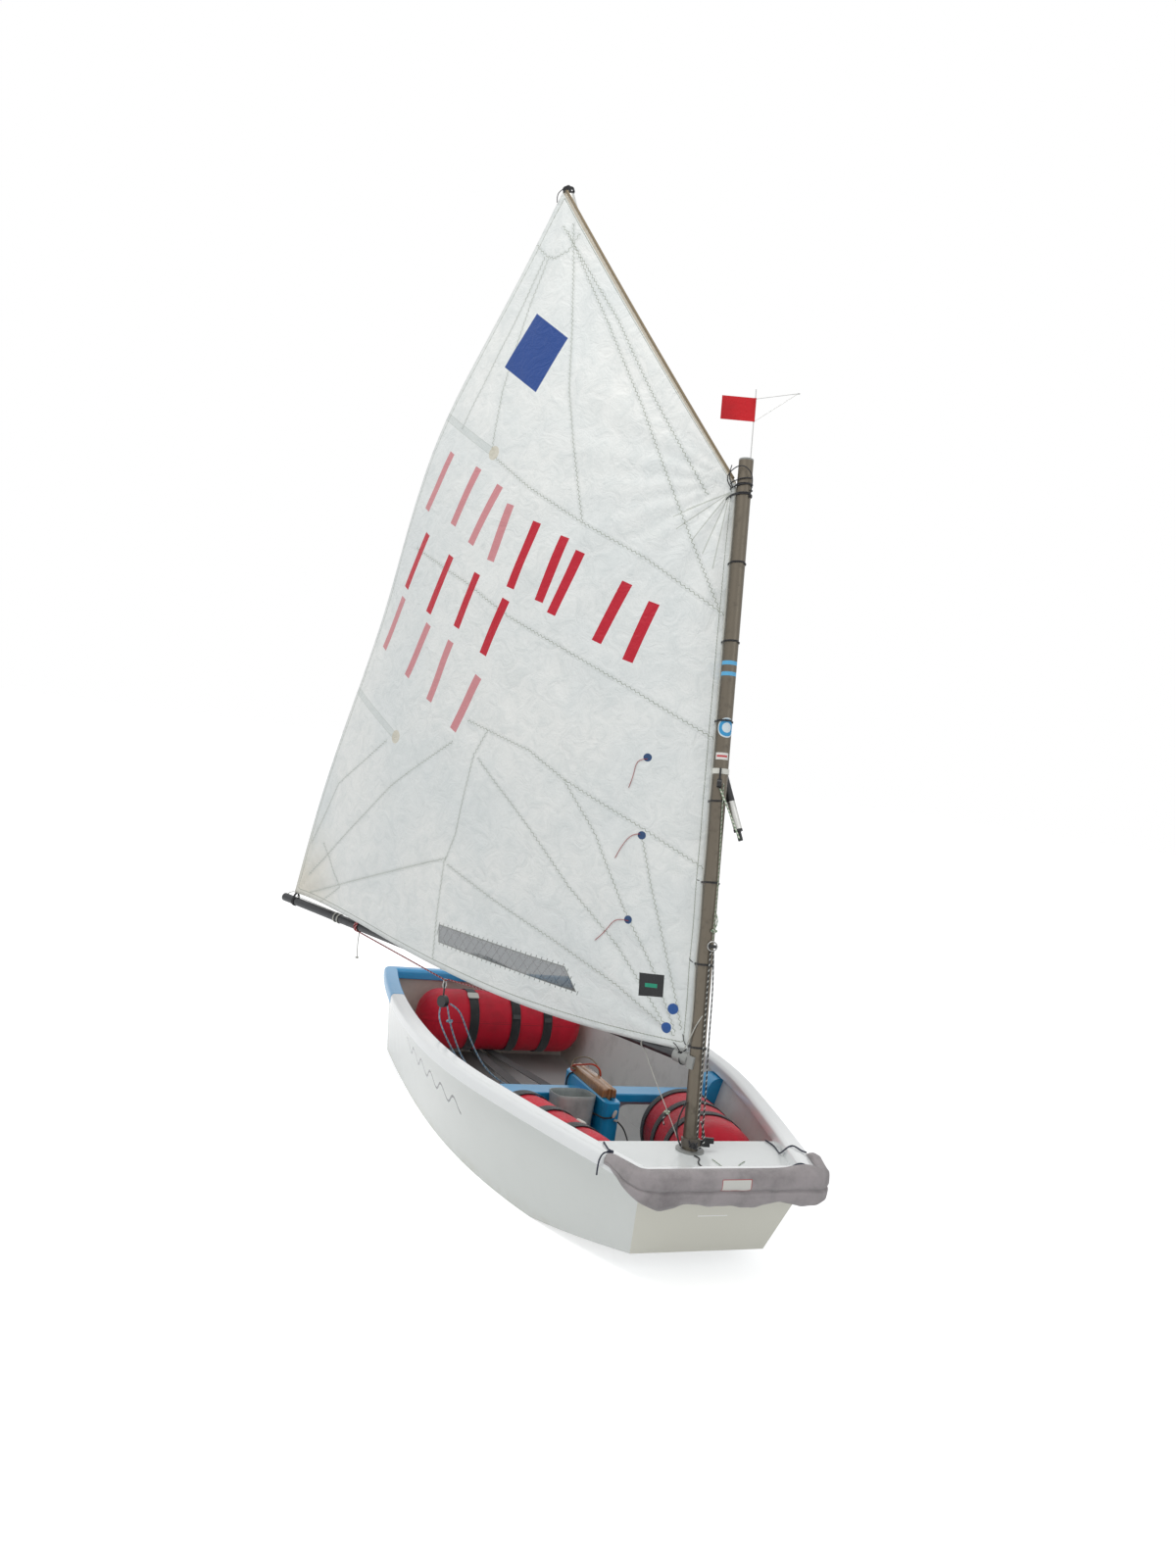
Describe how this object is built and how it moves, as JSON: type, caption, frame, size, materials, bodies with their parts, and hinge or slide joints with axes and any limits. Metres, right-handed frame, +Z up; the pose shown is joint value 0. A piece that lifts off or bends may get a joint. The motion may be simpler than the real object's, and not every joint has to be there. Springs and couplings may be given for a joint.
{
  "type": "sailing dinghy",
  "caption": "Pram sailing dinghy with sprit rig: flat-bottomed hull with rail, thwarts, buoyancy bags, swinging mast with boom, sprit and sail, lifting daggerboard and turning rudder",
  "frame": {"origin": "mid length on the centreline at the light waterline", "axes": "+X to the bow, +Y to port, +Z up; boom and sail stored 27.5 degrees out to starboard"},
  "size_m": [2.558, 1.519, 4.0007],
  "materials": {
    "hull_grey": "moulded glass fibre with light grey gelcoat",
    "white_gelcoat": "white gelcoat, glossy",
    "rail_blue": "light blue moulding, glossy",
    "thwart_blue": "blue gelcoat, glossy",
    "grey_plastic": "grey moulded plastic",
    "black_plastic": "black moulded plastic",
    "white_plastic": "white moulded plastic, weathered",
    "bailer_grey": "grey translucent plastic",
    "bag_red": "red coated cloth, taut",
    "webbing": "black woven webbing",
    "fender_grey": "grey padded cloth",
    "sailcloth": "white polyester sailcloth, creased",
    "black_cord": "black braided cord",
    "red_rope": "red braided rope",
    "vane_red": "red nylon",
    "mast_alloy": "anodised tube, grey-brown, satin",
    "boom_alloy": "anodised tube, dark grey, satin",
    "sprit_alloy": "anodised tube, silver, satin",
    "stainless": "stainless steel",
    "board_wood": "varnished wood"
  },
  "bodies": {
    "hull": {"hull_shell": "hull_grey", "rail_white": "white_gelcoat", "rail_blue": "rail_blue", "bow_deck": "white_gelcoat", "mast_collar": "grey_plastic", "mast_step": "white_gelcoat", "midship_thwart": "thwart_blue", "midship_web": "hull_grey", "daggerboard_case": "thwart_blue", "bag_aft": "bag_red", "bag_aft_straps": "webbing", "bag_port": "bag_red", "bag_port_straps": "webbing", "bag_starboard": "bag_red", "bag_starboard_straps": "webbing", "hiking_straps": "webbing", "floor_block": "black_plastic", "bailer": "bailer_grey", "bow_fender": "fender_grey", "rudder_lugs": "stainless"},
    "rig": {"mast_tube": "mast_alloy", "mast_plugs": "grey_plastic", "mast_clamp": "black_plastic", "boom_tube": "boom_alloy", "boom_jaw": "white_plastic", "boom_cap": "black_plastic", "sprit_tube": "sprit_alloy", "sprit_ends": "black_plastic", "heel_block": "black_plastic", "sail": "sailcloth", "luff_ties": "black_cord", "clew_tie": "black_cord", "sheet_bridle": "red_rope", "boom_block": "black_plastic", "vane_stem": "stainless"},
    "vane": {"vane_flag": "vane_red", "vane_arms": "stainless"},
    "daggerboard": {"daggerboard_blade": "board_wood", "daggerboard_cheeks": "board_wood"},
    "rudder": {"rudder_blade": "board_wood", "rudder_pintles": "stainless", "rudder_head": "mast_alloy", "tiller": "boom_alloy", "tiller_extension": "black_plastic"}
  },
  "joints": [
    {"name": "rig_swing", "type": "hinge", "parent": "hull", "child": "rig", "pos_m": [0.889, 0, 0.316], "axis": [-0.1357, 0, 0.9907], "range_deg": [-117.5, 62.5]},
    {"name": "daggerboard_lift", "type": "slide", "parent": "hull", "child": "daggerboard", "axis": [0, 0, 1], "range_m": [0, 0.19]},
    {"name": "rudder_turn", "type": "hinge", "parent": "hull", "child": "rudder", "pos_m": [-1.1656, 0, 0.16664], "axis": [-0.0679, 0, 0.9977], "range_deg": [-40, 40]},
    {"name": "vane_turn", "type": "hinge", "parent": "rig", "child": "vane", "pos_m": [0.60089, 0.00693, 2.51727], "axis": [-0.1357, 0, 0.9907], "continuous": true}
  ]
}
